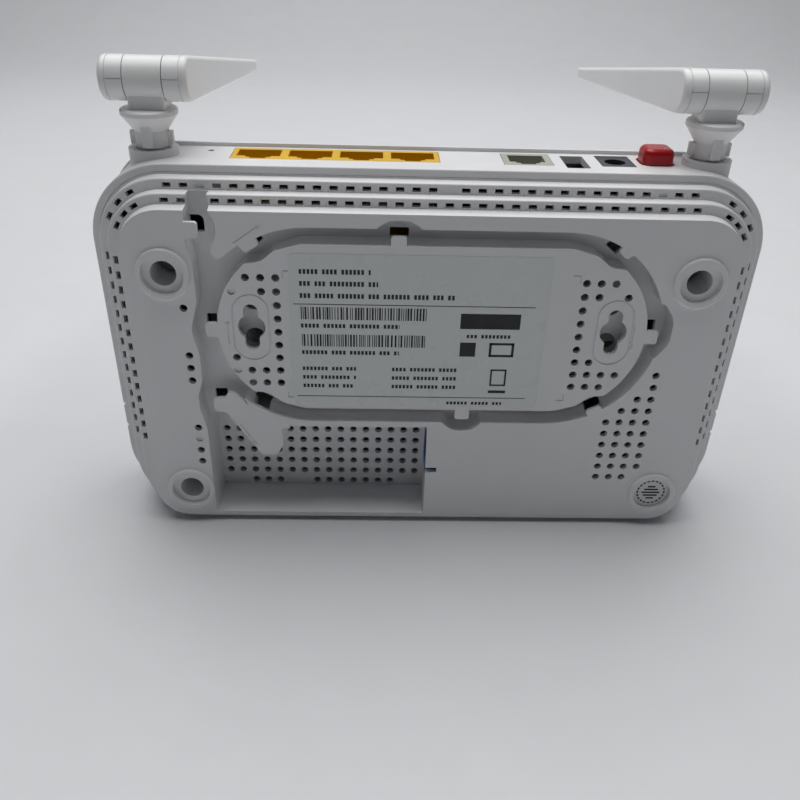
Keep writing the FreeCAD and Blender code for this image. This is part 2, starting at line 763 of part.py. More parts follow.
def build_case_channel(body):
    """The ring channel about the plateau, its bulges, the left branch and the compartment."""
    ring = new_sketch(body, "ring_channel", level="base_level")
    draw(ring, ring_corners(size("ring_outer"), size("ring_outer")), plateau_corners())
    pocket(body, "ring_groove", ring, "channel_depth")
    bulges = new_sketch(body, "bulge_outlines", level="base_level")
    top = size("ring_centre_z") + size("ring_outer")
    low = size("ring_centre_z") - size("ring_outer")
    right = size("ring_centre_x") + size("ring_half_span") + size("ring_outer")
    draw(bulges, bulge_corners((-9.0, top), (0, 1), 6.2, 2.2))
    draw(bulges, bulge_corners((10.7, low), (0, -1), 6.0, 2.8))
    draw(bulges, bulge_corners((right - 0.6, 68.4), (1, 0), 8.6, 3.4))
    pocket(body, "ring_bulges", bulges, "channel_depth")
    branch = new_sketch(body, "branch_channel", level="base_level")
    draw(branch, branch_corners())
    pocket(body, "branch_groove", branch, "channel_depth")
    room = new_sketch(body, "room_outline", level="base_level")
    draw(room, box_corners(size("room_left"), size("room_low"), size("room_right"), size("room_high"), 0.5))
    pocket(body, "fibre_room", room, "room_depth")
    latch = new_sketch(body, "latch_slot", level="base_level")
    draw(latch, box_corners(size("room_right") - 0.5, 19.4, size("room_right") + 3.4, 21.2))
    pocket(body, "adapter_latch_slot", latch, "case_floor + 2")
    door = new_sketch(body, "adapter_door", "YZ_Plane", "room_right - 0.5")
    draw(door, box_corners(-15.2, 15.8, -4.4, 33.4))
    pocket(body, "adapter_opening", door, "3", backwards=True)


def build_case_tabs(body):
    windows = new_sketch(body, "window_outlines", level="base_level - case_floor")
    draw(windows, *window_outlines())
    pocket(body, "hook_windows", windows, "channel_depth + 1")
    tabs = new_sketch(body, "tab_outlines", level="base_level")
    draw(tabs, tongue_corners(), *hook_tabs())
    pad(body, "hook_tabs", tabs, "tab_thickness", backwards=True)


def build_case_wells(body):
    """Ring feet outside and screw wells inside."""
    places = post_places()
    tubes = new_sketch(body, "tube_circles", level="base_level - case_floor")
    draw_circles(tubes, places, "well_tube_radius")
    pad(body, "well_tubes", tubes, "base_level - case_floor - well_floor + well_seat", backwards=True)
    rings = new_sketch(body, "foot_circles", level="base_level")
    draw_circles(rings, places, "foot_radius")
    pad(body, "ring_feet", rings, "foot_height")
    round_edges(
        body, "foot_rounding", lambda edge: on_level(edge, "y", -size("base_level") - size("foot_height")),
        "step_edge_round",
    )
    dishes = new_sketch(body, "dish_circles", level="base_level + foot_height")
    draw_circles(dishes, places, "foot_dish_radius")
    pocket(body, "foot_dishes", dishes, "foot_dish_depth")
    wells = new_sketch(body, "well_circles", level="base_level + foot_height")
    draw_circles(wells, places, "well_radius")
    pocket(body, "screw_wells", wells, "base_level + foot_height - well_floor")
    holes = new_sketch(body, "clearance_circles", level="well_floor + 1")
    draw_circles(holes, places, "screw_clearance")
    pocket(body, "screw_clearances", holes, "well_seat + 2")


def key_places():
    x = size("ring_centre_x")
    half = size("key_spacing") / 2
    return [(x - half, size("key_height")), (x + half, size("key_height"))]


def upright_stadium(x, z, radius, reach):
    return box_corners(x - radius, z - reach - radius, x + radius, z + reach + radius, radius)


def build_case_keyholes(body):
    cups = new_sketch(body, "key_cups", level="base_level - case_floor")
    rings = new_sketch(body, "key_rings", level="base_level")
    heads = new_sketch(body, "key_heads", level="base_level - case_floor")
    slots = new_sketch(body, "key_slots", level="base_level + 1")
    reach, ring = size("key_reach"), size("key_ring")
    for x, z in key_places():
        draw(cups, upright_stadium(x, z, ring + 0.4, reach))
        draw(rings, upright_stadium(x, z, ring, reach), upright_stadium(x, z, ring - 0.5, reach))
        draw(heads, upright_stadium(x, z, size("key_round") + 0.15, reach))
        draw(slots, upright_stadium(x, z, size("key_slot"), reach))
    pad(body, "key_cup_walls", cups, "key_cup_depth", backwards=True)
    pocket(body, "key_ring_lines", rings, "0.25")
    pocket(body, "key_head_rooms", heads, "key_cup_depth - 1.2")
    pocket(body, "key_slot_cuts", slots, "case_floor + 1.5")
    rounds = new_sketch(body, "key_rounds", level="base_level + 1")
    draw_circles(rounds, key_places(), "key_round")
    pocket(body, "key_round_cuts", rounds, "case_floor + 1.5")
    windows = new_sketch(body, "key_windows", level="base_level - case_floor - key_cup_depth + 1.4")
    offset = size("key_window_offset")
    draw_circles(windows, [(x, z + way * offset) for x, z in key_places() for way in (-1, 1)], "key_window")
    pocket(body, "key_window_cuts", windows, "1.8")


def build_case_vents(body):
    holes = new_sketch(body, "vent_circles", level="base_level + 0.5")
    draw_circles(holes, underside_vents(), "vent_radius")
    pocket(body, "underside_vents", holes, "vent_depth + 0.5")
    blind = new_sketch(body, "blind_circles", level="base_level")
    draw_circles(blind, blind_vents(), "vent_radius")
    pocket(body, "blind_vents", blind, "blind_depth")
    floor = new_sketch(body, "floor_circles", level="base_level - room_depth + 0.5")
    draw_circles(floor, floor_vents(), "vent_radius")
    pocket(body, "floor_vents", floor, "vent_depth + 0.5")
    upper = new_sketch(body, "upper_slots", level="step_one_level + 0.5")
    draw(upper, *slot_row(size("step_one_side"), size("step_one_top"), -0.4, (-14, 1, 14)))
    pocket(body, "upper_slot_row", upper, "case_floor + 1")
    top = size("body_height") - size("step_one_top") - size("slot_inset")
    closed = new_sketch(body, "closed_slots", level="step_one_level")
    draw(closed, *[slot_at(index * size("slot_pitch") - 0.4, top, 0.0) for index in (-14, 14)])
    pocket(body, "closed_slot_marks", closed, "0.4")
    lower = new_sketch(body, "lower_slots", level="step_two_level + 0.5")
    draw(lower, *slot_row(size("step_two_side"), size("step_two_top"), -0.5, (-14,)))
    pocket(body, "lower_slot_row", lower, "case_floor + 1")


def arrow_corners(tail, head):
    """A thin engraved arrow from tail to head."""
    along = Vector(head[0] - tail[0], head[1] - tail[1], 0)
    along.normalize()
    side = Vector(-along.y, along.x, 0)
    end = Vector(head[0], head[1], 0)
    start = Vector(tail[0], tail[1], 0)
    line, barb = 0.2, 0.7
    points = [start + side * line, end - along * 1.6 + side * line, end - along * 1.6 + side * barb, end]
    points += [end - along * 1.6 - side * barb, end - along * 1.6 - side * line, start - side * line]
    return [(point.x, point.y, 0) for point in points]


def corner_mark(x, z, across, up):
    """A small engraved angle with its corner at (x, z)."""
    long, line = 2.2, 0.35
    return [
        (x, z, 0), (x + across * long, z, 0), (x + across * long, z + up * line, 0),
        (x + across * line, z + up * line, 0), (x + across * line, z + up * long, 0), (x, z + up * long, 0),
    ]


def build_case_marks(body):
    """Engraved routing arrows and the four corner marks of the sticker's place."""
    marks = new_sketch(body, "corner_outlines", level="base_level")
    for x, across in ((-39.9, 1), (39.9, -1)):
        for z, up in ((84.9, -1), (45.8, 1)):
            draw(marks, corner_mark(x, z, across, up))
    pocket(body, "corner_cuts", marks, "0.25")
    arrows = new_sketch(body, "arrow_outlines", level="base_level")
    draw(arrows, arrow_corners((-52.0, 92.2), (-44.6, 97.4)))
    draw(arrows, arrow_corners((-55.4, 62.8), (-55.4, 70.8)))
    draw(arrows, arrow_corners((-54.4, 36.4), (-50.0, 29.4)))
    draw(arrows, arrow_corners((56.6, 70.8), (56.6, 62.8)))
    pocket(body, "arrow_cuts", arrows, "0.25")


def build_bottom_case():
    body = new_body("bottom_case")
    build_case_shell(body)
    build_case_inner_walls(body)
    build_case_channel(body)
    build_case_tabs(body)
    build_case_wells(body)
    build_case_keyholes(body)
    build_case_vents(body)
    build_case_marks(body)
    edge = new_sketch(body, "lower_edge_round", "YZ_Plane", "- body_width / 2 - 1")
    reach, base = size("foot_edge_round"), -size("base_level")
    arc = Part.Arc(
        Vector(base, reach, 0),
        Vector(base + reach * (1 - math.sqrt(0.5)), reach * (1 - math.sqrt(0.5)), 0),
        Vector(base + reach, 0, 0),
    )
    corner = [Vector(base + reach, 0, 0), Vector(base + reach, -2, 0)]
    corner += [Vector(base - 2, -2, 0), Vector(base - 2, reach, 0)]
    lines = [Part.LineSegment(a, b) for a, b in zip(corner, corner[1:])]
    lines.append(Part.LineSegment(corner[-1], Vector(base, reach, 0)))
    edge.addGeometry([arc] + lines, False)
    pocket(body, "lower_edge_rounding", edge, "body_width + 2", backwards=True)
    return body


# ---------------------------------------------------------------- stickers and screws

def build_sticker(label, corners):
    body = new_body(label)
    sheet_outline = new_sketch(body, label + "_outline", level="base_level")
    draw(sheet_outline, corners)
    pad(body, label + "_film", sheet_outline, "film_thickness")
    return body


def build_seal():
    body = new_body("seal_sticker")
    disc = new_sketch(body, "seal_disc", level="base_level + foot_height - foot_dish_depth")
    draw_circles(disc, [(size("foot_right"), size("foot_low"))], "seal_radius")
    pad(body, "seal_film", disc, "film_thickness")
    return body


def screw_solid(x, z, head_low, head, shank, length):
    """A pan head screw along +Y; head_low is the outer side of its head, head is its (radius, depth)."""
    head_part = Part.makeCylinder(head[0], head[1], Vector(x, head_low, z), ALONG_Y)
    shank_part = Part.makeCylinder(shank, length, Vector(x, head_low + head[1], z), ALONG_Y)
    cross = Part.makeBox(2.4, 1.2, 0.6, Vector(x - 1.2, head_low - 0.2, z - 0.3))
    across = Part.makeBox(0.6, 1.2, 2.4, Vector(x - 0.3, head_low - 0.2, z - 1.2))
    return head_part.fuse(shank_part).cut(cross.fuse(across)).removeSplitter()


def build_case_screws():
    seat = -size("well_floor")
    head = (size("screw_head_radius"), size("screw_head_depth"))
    solids = [
        screw_solid(x, z, seat - head[1], head, size("screw_radius"), size("screw_length"))
        for x, z in post_places()
    ]
    return group_node("case_screws", solids)


# ---------------------------------------------------------------- port parts

def lan_centres():
    first = size("lan_left") + size("lan_width") / 2 - 1.5 * size("lan_pitch")
    return [first + index * size("lan_pitch") for index in range(4)]


def modular_opening(x, front, wide, tall, latch_wide, latch_deep):
    """Mouth of a modular socket, its latch notch on the -Y side."""
    back = front + latch_deep + tall
    return [
        (x - latch_wide / 2, front, 0.15), (x + latch_wide / 2, front, 0.15),
        (x + latch_wide / 2, front + latch_deep / 2, 0),
        (x + latch_wide * 0.78, front + latch_deep / 2, 0.15),
        (x + latch_wide * 0.78, front + latch_deep, 0),
        (x + wide / 2, front + latch_deep, 0.15),
        (x + wide / 2, back, 0.15), (x - wide / 2, back, 0.15), (x - wide / 2, front + latch_deep, 0.15),
        (x - latch_wide * 0.78, front + latch_deep, 0), (x - latch_wide * 0.78, front + latch_deep / 2, 0.15),
        (x - latch_wide / 2, front + latch_deep / 2, 0),
    ]


def build_lan_block():
    body = new_body("lan_jack_block")
    outline_sketch = new_sketch(body, "lan_outline", "XY_Plane", "body_height")
    left, front = size("lan_left"), size("lan_front")
    draw(outline_sketch, box_corners(left, front, left + size("lan_width"), front + size("lan_depth"), 0.2))
    pad(body, "lan_block", outline_sketch, "lan_length", backwards=True)
    mouths = new_sketch(body, "lan_mouths", "XY_Plane", "body_height + 0.5")
    draw(mouths, *[modular_opening(x, front + 0.7, 11.8, 6.6, 4.4, 2.2) for x in lan_centres()])
    pocket(body, "lan_cavities", mouths, "socket_depth")
    return body


def contact_solid(x, back, low, high):
    """One sprung contact wire: a thin strip on the +Y wall of a socket with a slanted free end."""
    wide, thick = 0.4, 0.3
    strip = Part.makeBox(wide, thick, high - low, Vector(x - wide / 2, back - thick, low))
    slant = Part.makeBox(wide, 2.4, thick, Vector(x - wide / 2, back - 2.5, high - 2.4))
    slant.rotate(Vector(x, back - thick, high - 2.4), ALONG_X, -35)
    return strip.fuse(slant).removeSplitter()


def build_lan_contacts():
    back = size("lan_front") + 0.7 + 2.2 + 6.6 - 0.02
    low = size("body_height") - size("socket_depth") + 0.6
    pitch = size("contact_pitch")
    solids = [
        contact_solid(x + (index - 3.5) * pitch, back, low, low + 9.0)
        for x in lan_centres()
        for index in range(8)
    ]
    return group_node("lan_contacts", solids)


def phone_centre():
    return size("phone_left") + size("phone_width") / 2


def build_phone_jack():
    body = new_body("phone_jack")
    outline_sketch = new_sketch(body, "phone_outline", "XY_Plane", "body_height")
    left, front = size("phone_left"), size("phone_front")
    draw(
        outline_sketch,
        box_corners(left, front, left + size("phone_width"), front + size("phone_depth"), 0.2),
    )
    pad(body, "phone_block", outline_sketch, "phone_length", backwards=True)
    mouth = new_sketch(body, "phone_mouth", "XY_Plane", "body_height + 0.5")
    draw(mouth, modular_opening(phone_centre(), front + 1.0, 9.8, 6.7, 4.2, 2.2))
    pocket(body, "phone_cavity", mouth, "phone_socket_depth")
    return body


def build_phone_contacts():
    back = size("phone_front") + 1.0 + 2.2 + 6.7 - 0.02
    low = size("body_height") - size("phone_socket_depth") + 0.6
    pitch = size("contact_pitch")
    solids = [
        contact_solid(phone_centre() + (index - 1.5) * pitch, back, low, low + 8.0)
        for index in range(4)
    ]
    return group_node("phone_contacts", solids)


def build_usb_parts():
    """Upright receptacle, recessed under its panel opening, and the contact tongue inside it."""
    left, front = size("usb_left") - 0.2, size("usb_front") - 0.3
    right, back = left + 6.8, front + 13.1
    shell = new_body("usb_shell")
    tube = new_sketch(shell, "usb_outline", "XY_Plane", "body_height - usb_recess")
    wall = 0.35
    draw(tube, box_corners(left, front, right, back, 0.6))
    pad(shell, "usb_tube", tube, "usb_length", backwards=True)
    bore = new_sketch(shell, "usb_inside", "XY_Plane", "body_height - usb_recess + 0.5")
    draw(bore, box_corners(left + wall, front + wall, right - wall, back - wall, 0.4))
    pocket(shell, "usb_bore", bore, "usb_length - 0.5")
    low = size("body_height") - size("usb_recess") - size("usb_length") + 1.05
    tongue = box_node("usb_tongue", (left + 3.4, front + 1.2, low))
    return shell, tongue


def build_power_jack():
    body = new_body("power_jack")
    left, front = size("jack_left"), size("jack_front")
    block = new_sketch(body, "jack_outline", "XY_Plane", "body_height - 0.2")
    draw(block, box_corners(left, front, left + size("jack_width"), front + size("jack_depth"), 0.2))
    pad(body, "jack_block", block, "jack_length", backwards=True)
    centre = (left + size("jack_width") / 2, front + size("jack_depth") / 2)
    barrel = new_sketch(body, "jack_bore", "XY_Plane", "body_height")
    draw_circles(barrel, [centre], "jack_bore_radius")
    pocket(body, "jack_barrel", barrel, "jack_bore_depth + 0.2")
    pin = doc.addObject("Part::Cylinder", "power_jack_pin")
    pin.Label = "power_jack_pin"
    pin.setExpression("Radius", cell("jack_pin_radius"))
    pin.setExpression("Height", cell("jack_bore_depth - 1.5"))
    pin.Placement.Base = Vector(centre[0], centre[1], size("body_height") - size("jack_bore_depth") - 0.2)
    return body, pin


def build_power_button():
    """Red cap with a retaining flange; it slides down through the panel."""
    body = new_body("power_button")
    x, y = size("button_x"), size("button_y")
    half = size("button_side") / 2
    collar = new_sketch(body, "button_collar", "XY_Plane", "body_height - cover_wall - 0.3")
    draw(collar, box_corners(x - half - 1.2, y - half - 1.2, x + half + 1.2, y + half + 1.2, 2.0))
    pad(body, "button_flange", collar, "button_flange", backwards=True)
    base = new_sketch(body, "button_outline", "XY_Plane", "body_height - cover_wall - 0.3")
    draw(base, box_corners(x - half, y - half, x + half, y + half, 2.6))
    cap = pad(body, "button_cap", base, "button_top - body_height + cover_wall + 0.3")
    cap.TaperAngle = -2.0
    doc.recompute()
    round_edges(body, "button_rounding", lambda edge: on_level(edge, "z", size("button_top")), "button_round")
    return body


def build_switches():
    """Push switch under the power button, and the reset switch under its pinhole."""
    x, y = size("button_x"), size("button_y")
    switch = welled_block("power_switch", (x - 4.2, y - 4.2, 90.0), (x - 1.7, y - 1.7, 96.0))
    plunger = box_node("power_plunger", (x - 1.5, y - 1.5, 99.02))
    reset_x, reset_y = size("reset_x"), size("reset_y")
    reset = welled_block(
        "reset_switch", (reset_x - 2.2, reset_y - 2.2, 98.0), (reset_x - 1.5, reset_y - 1.5, 101.0),
    )
    button = doc.addObject("Part::Cylinder", "reset_plunger")
    button.Label = "reset_plunger"
    button.setExpression("Radius", cell("reset_plunger_radius"))
    button.setExpression("Height", cell("reset_plunger_length"))
    button.Placement.Base = Vector(reset_x, reset_y, 102.05)
    return switch, plunger, reset, button


# ---------------------------------------------------------------- optical parts

def build_optical_parts():
    """Receptacle in the compartment's right wall, its ferrule sleeve, and the transceiver can behind it."""
    adapter = new_body("optical_adapter")
    low, high, front, back = 16.0, 33.2, -15.0, -4.6
    flange = new_sketch(adapter, "adapter_flange_outline", "YZ_Plane", "room_right + 0.1")
    draw(flange, box_corners(front, low, back, high, 0.6))
    pad(adapter, "adapter_flange", flange, "adapter_flange")
    barrel = new_sketch(adapter, "adapter_body_outline", "YZ_Plane", "room_right + adapter_flange")
    draw(barrel, box_corners(front + 0.3, low + 2.2, back - 0.3, high - 2.2, 0.6))
    pad(adapter, "adapter_body", barrel, "adapter_length")
    mouth = new_sketch(adapter, "adapter_mouth", "YZ_Plane", "room_right")
    middle_y, middle_z = (front + back) / 2, (low + high) / 2
    draw(mouth, box_corners(middle_y - 3.7, middle_z - 4.6, middle_y + 3.7, middle_z + 4.6, 0.3))
    pocket(adapter, "adapter_cavity", mouth, "adapter_length - 2", backwards=True)
    inner = size("room_right") + size("adapter_length") - 2
    sleeve = doc.addObject("Part::Cylinder", "ferrule_outer")
    sleeve.Radius = 1.6
    sleeve.Height = 9.0
    hole = doc.addObject("Part::Cylinder", "ferrule_inner")
    hole.Radius = 1.25
    hole.Height = 12.0
    for cylinder, start in ((sleeve, inner - 9.0), (hole, inner - 10.5)):
        cylinder.Placement = FreeCAD.Placement(
            Vector(start, middle_y, middle_z),
            FreeCAD.Rotation(ALONG_Y, 90),
        )
    ferrule = doc.addObject("Part::Cut", "optical_sleeve")
    ferrule.Label = "optical_sleeve"
    ferrule.Base = sleeve
    ferrule.Tool = hole
    can_left = size("room_right") + size("adapter_flange") + size("adapter_length") + 0.1
    can = box_node("optical_transceiver", (can_left, front + 1.0, middle_z - 5.5))
    return adapter, ferrule, can


# ---------------------------------------------------------------- board and its parts

def build_main_board():
    body = new_body("main_board")
    plate = new_sketch(body, "board_outline", level="- board_back")
    draw(plate, box_corners(-86.0, 6.0, 86.0, 97.0, 8.0))
    pad(body, "board_plate", plate, "board_thickness", backwards=True)
    notches = new_sketch(body, "board_post_holes", level="- board_back + 1")
    draw_circles(notches, post_places(), "board_hole_radius")
    pocket(body, "board_clearances", notches, "board_thickness + 2")
    holes = new_sketch(body, "board_screw_holes", level="- board_back + 1")
    draw_circles(holes, board_screw_places(), "screw_clearance")
    pocket(body, "board_screw_clearances", holes, "board_thickness + 2")
    lands = new_sketch(body, "board_lands", level="- board_back")
    draw(lands, box_corners(size("lan_left"), 97.0 - 1.0, 56.0, 104.0, 0.5))
    pad(body, "board_port_edge", lands, "board_thickness", backwards=True)
    return body


def board_screw_places():
    return [(-40.0, 12.0), (40.0, 12.0), (-78.0, 48.0), (78.0, 48.0)]


def build_board_screws():
    """Short screws; each stops short of the cover face."""
    head = (2.6, 1.6)
    solids = [
        screw_solid(x, z, size("board_back") - head[1] - 0.02, head, size("screw_radius"), 2.2)
        for x, z in board_screw_places()
    ]
    return group_node("board_screws", solids)


def board_block(label, across, low):
    """A part mounted on the board's -Y side."""
    deep = size(label + "_deep")
    return box_node(label, (across, size("board_back") - 0.02 - deep, low))


def build_board_parts():
    back = size("board_back")
    nodes = [
        board_block("soc_chip", -11.0, 50.0),
        board_block("rf_shield_left", -66.0, 40.0),
        board_block("rf_shield_right", 30.0, 52.0),
    ]
    chip_places = ((-30.0, 44.0), (16.0, 48.0))
    chips = [Part.makeBox(11.0, 1.2, 9.0, Vector(x, back - 1.22, z)) for x, z in chip_places]
    nodes.append(group_node("memory_chips", chips))
    blocks = [Part.makeBox(12.6, 5.6, 8.6, Vector(x - 6.3, back - 5.62, 77.6)) for x in lan_centres()]
    nodes.append(group_node("lan_transformers", blocks))
    cans = [Part.makeCylinder(r, deep, Vector(x, back - 0.02, z), -ALONG_Y)
            for x, z, r, deep in ((50.0, 30.0, 3.2, 8.0), (60.0, 30.0, 4.0, 9.0), (66.0, 40.0, 3.2, 8.0))]
    nodes.append(group_node("capacitors", cans))
    coil_places = ((26.0, 40.0), (36.0, 40.0), (70.0, 66.0))
    coils = [Part.makeBox(6.6, 4.0, 6.6, Vector(x, back - 4.02, z)) for x, z in coil_places]
    nodes.append(group_node("inductors", coils))
    far = board_far_side() + 0.02
    leds = [Part.makeBox(1.6, 0.4, 1.0, Vector(x - 0.8, far, z - 0.5)) for x, z in led_places()]
    nodes.append(group_node("status_leds", leds))
    nodes.append(build_heatsink())
    nodes.append(build_light_pipe())
    return nodes


def board_far_side():
    return size("board_back") + size("board_thickness")


def build_heatsink():
    """Finned block on the main chip, fins upright."""
    body = new_body("heatsink")
    low, high = 47.0, 76.0
    top = size("board_back") - 0.02 - 1.6 - 0.02
    base = new_sketch(body, "heatsink_base_outline", level="- %s" % top)
    draw(base, box_corners(-14.0, low, 15.0, high))
    pad(body, "heatsink_base", base, "heatsink_base")
    fins = new_sketch(body, "heatsink_fin_outlines", level="- %s + heatsink_base" % top)
    draw(fins, *[box_corners(-14.0 + 4.0 * i, low, -13.0 + 4.0 * i, high) for i in range(8)])
    pad(body, "heatsink_fins", fins, "heatsink_fin")
    return body


def build_light_pipe():
    """Clear strip with a short stud in each indicator window."""
    body = new_body("light_pipe")
    inner = size("cover_face") - size("cover_wall")
    strip = new_sketch(body, "light_strip_outline", level="- %s" % (inner - 0.05))
    draw(strip, box_corners(led_places()[0][0] - 2.0, 7.4, led_places()[-1][0] + 2.0, 10.6, 0.8))
    pad(body, "light_strip", strip, "light_strip")
    studs = new_sketch(body, "light_stud_circles", level="- %s" % (inner - 0.05))
    draw_circles(studs, led_places(), "light_stud_radius")
    pad(body, "light_studs", studs, "cover_wall", backwards=True)
    return body


# ---------------------------------------------------------------- antennas

def build_swivel(side):
    """Turning foot of an antenna: stub in the boss, ribbed neck, cone, cup and knuckle."""
    name = mirrored_name(side)
    body = new_body("antenna_swivel_" + name)
    profile = new_sketch(body, "swivel_profile_" + name)
    stub, groove = size("stub_radius"), size("stub_groove_radius")
    low = size("boss_bottom") - 2.6
    neck_low = size("boss_top") + 0.2
    points = [
        (0, low), (stub, low), (stub, low + 0.9), (groove, low + 0.9), (groove, low + 2.1), (stub, low + 2.1),
        (stub, neck_low), (size("neck_radius"), neck_low), (size("neck_radius"), size("cone_low")),
        (size("cup_radius"), size("cone_high")), (size("cup_radius"), size("cup_top") - 0.4),
        (size("cup_radius") - 0.4, size("cup_top")), (0, size("cup_top")),
    ]
    draw(profile, [(x, z, 0) for x, z in points])
    turned = body.newObject("PartDesign::Revolution", "swivel_turned_" + name)
    turned.Profile = profile
    turned.ReferenceAxis = (profile, ["V_Axis"])
    turned.Angle = 360.0
    doc.recompute()
    for rib_name, half_x, half_y, top in (
        ("side", size("rib_radius"), 1.1, "side_rib_top"),
        ("front", 1.4, size("rib_radius"), "front_rib_top"),
    ):
        ribs = new_sketch(body, rib_name + "_rib_outline_" + name, "XY_Plane", "boss_top + 0.8")
        draw(ribs, box_corners(-half_x, -half_y, half_x, half_y, 0.5))
        pad(body, rib_name + "_ribs_" + name, ribs, top + " - boss_top - 0.8")
    inset = -side * size("hinge_inset")
    half_width = size("knuckle_width") / 2
    stem = new_sketch(body, "knuckle_stem_" + name, "XY_Plane", "cup_top - 0.5")
    draw(stem, box_corners(inset - half_width, -4.2, inset + half_width, 4.2, 0.8))
    pad(body, "knuckle_post_" + name, stem, "hinge_height - cup_top + 0.5")
    start = "%s - knuckle_width / 2" % inset
    barrel = new_sketch(body, "knuckle_barrel_" + name, "YZ_Plane", start)
    draw_circles(barrel, [(0, size("hinge_height"))], "barrel_radius")
    pad(body, "knuckle_round_" + name, barrel, "knuckle_width")
    bore = new_sketch(body, "knuckle_bore_" + name, "YZ_Plane", start + " - 1")
    draw_circles(bore, [(0, size("hinge_height"))], "pin_bore")
    pocket(body, "knuckle_hole_" + name, bore, "knuckle_width + 2", backwards=True)
    cable = new_sketch(body, "cable_hole_" + name, "XY_Plane", "%s" % (low - 1))
    draw_circles(cable, [(0, 0)], "lead_hole_radius")
    pocket(body, "cable_bore_" + name, cable, "cup_top - %s" % low, backwards=True)
    body.Placement.Base = Vector(side * size("antenna_x"), size("antenna_y"), 0)
    return body


def hinge_middle(side):
    """The hinge sits a little inwards of the foot's own axis."""
    return side * (size("antenna_x") - size("hinge_inset"))


def hinge_placement(side):
    """Frame of a folded blade: origin on the hinge axis, its own Y along the blade."""
    place = Vector(hinge_middle(side), size("antenna_y"), size("hinge_height"))
    return FreeCAD.Placement(place, FreeCAD.Rotation(ALONG_X, -size("fold_droop")))


def blade_side_outline(half_shift):
    """Side view of one half of the blade: round at the hinge, thinner at the tip; upper half for +1."""
    sign = half_shift
    radius, tip, long = size("barrel_radius"), size("blade_tip") / 2, size("blade_length")
    corners = [(-radius, 0, 0), (long, 0, 0), (long, sign * tip, 1.6), (radius * 0.4, sign * radius, 6.0)]
    corners += [(-radius, sign * radius, radius - 0.02)]
    return corners if sign > 0 else list(reversed(corners))


def build_blade_half(side, upper):
    """One half shell of the blade with its half of both hinge ears."""
    name = ("antenna_cover_" if upper else "antenna_shell_") + mirrored_name(side)
    body = new_body(name)
    sign = 1 if upper else -1
    half = size("barrel_length") / 2
    block = new_sketch(body, name + "_side", "YZ_Plane", "- barrel_length / 2")
    draw(block, blade_side_outline(sign))
    pad(body, name + "_block", block, "barrel_length")
    round_edges(body, name + "_end_rounding", is_blade_side_edge, "barrel_end_round")
    tip = new_sketch(body, name + "_tip", "XY_Plane", "%s" % (sign * 8))
    long, out = size("blade_length"), size("blade_length") + 4
    corner = 6.0
    for direction in (-1, 1):
        edge = direction * (half + 2)
        inner = direction * (half - corner)
        start, end = Vector(direction * half, long - corner, 0), Vector(inner, long, 0)
        slant = math.sqrt(0.5)
        middle = Vector(inner + direction * corner * slant, long - corner + corner * slant, 0)
        tip.addGeometry([
            Part.Arc(start, middle, end),
            Part.LineSegment(end, Vector(inner, out, 0)),
            Part.LineSegment(Vector(inner, out, 0), Vector(edge, out, 0)),
            Part.LineSegment(Vector(edge, out, 0), Vector(edge, long - corner, 0)),
            Part.LineSegment(Vector(edge, long - corner, 0), start),
        ], False)
    pocket(body, name + "_tip_rounding", tip, "16", backwards=not upper)
    gap = size("knuckle_width") / 2 + 0.25
    window = new_sketch(body, name + "_gap", "XY_Plane", "%s" % (sign * 8))
    draw(window, box_corners(-gap, -size("barrel_radius") - 2, gap, size("barrel_radius") + 0.5, 0))
    pocket(body, name + "_knuckle_gap", window, "16", backwards=not upper)
    bore = new_sketch(body, name + "_bore", "YZ_Plane", "- barrel_length / 2 + 1.7")
    draw_circles(bore, [(0, 0)], "pin_bore")
    pocket(body, name + "_pin_hole", bore, "barrel_length - 3.4", backwards=True)
    carve_blade_room(body, name, sign)
    carve_barrel_lines(body, name, sign)
    body.Placement = hinge_placement(side)
    return body


def is_blade_side_edge(edge):
    """True for the outer edges of both side faces, not for those on the parting plane."""
    half = size("barrel_length") / 2
    box = edge.BoundBox
    beside = on_level(edge, "x", half) or on_level(edge, "x", -half)
    return beside and max(abs(box.ZMin), abs(box.ZMax)) > 1.0 and box.YMax < size("blade_length") - 0.5


def carve_barrel_lines(body, name, sign):
    """Fine lines on the barrel: the parting line, the cap's lines near both ends and one along its top."""
    outer, inner = size("barrel_radius") + 0.3, size("barrel_radius") - 0.3
    along = new_sketch(body, name + "_along", "YZ_Plane", "- barrel_length / 2 + cap_line")
    lines = [
        box_corners(-outer, 0, -inner, sign * 0.1),
        box_corners(-size("line_wide"), sign * inner, 0, sign * outer),
    ]
    draw(along, *[corners if sign > 0 else list(reversed(corners)) for corners in lines])
    pocket(body, name + "_along_lines", along, "barrel_length - 2 * cap_line", backwards=True)
    arc = [
        (0, sign * inner, 0), (0, sign * outer, 0),
        (-outer, sign * outer, outer), (-outer, 0, 0),
        (-inner, 0, 0), (-inner, sign * inner, inner),
    ]
    for end_name, level in (
        ("_first", "- barrel_length / 2 + cap_line"), ("_second", "barrel_length / 2 - cap_line - line_wide"),
    ):
        around = new_sketch(body, name + end_name + "_around", "YZ_Plane", level)
        draw(around, arc)
        pocket(body, name + end_name + "_line", around, "line_wide", backwards=True)


def carve_blade_room(body, name, sign):
    """Room inside one half of the blade for the radiator board."""
    wall = size("blade_wall")
    start, end = size("barrel_radius") + 2.0, size("blade_length") - 4.0
    near = sign * (size("barrel_radius") - wall - 0.6)
    far = sign * (size("blade_tip") / 2 - wall)
    room = new_sketch(body, name + "_room", "YZ_Plane", "- barrel_length / 2 + blade_wall")
    corners = [(start, 0, 0), (end, 0, 0), (end, far, 0), (start, near, 0)]
    draw(room, corners if sign > 0 else list(reversed(corners)))
    pocket(body, name + "_hollow", room, "barrel_length - 2 * blade_wall", backwards=True)


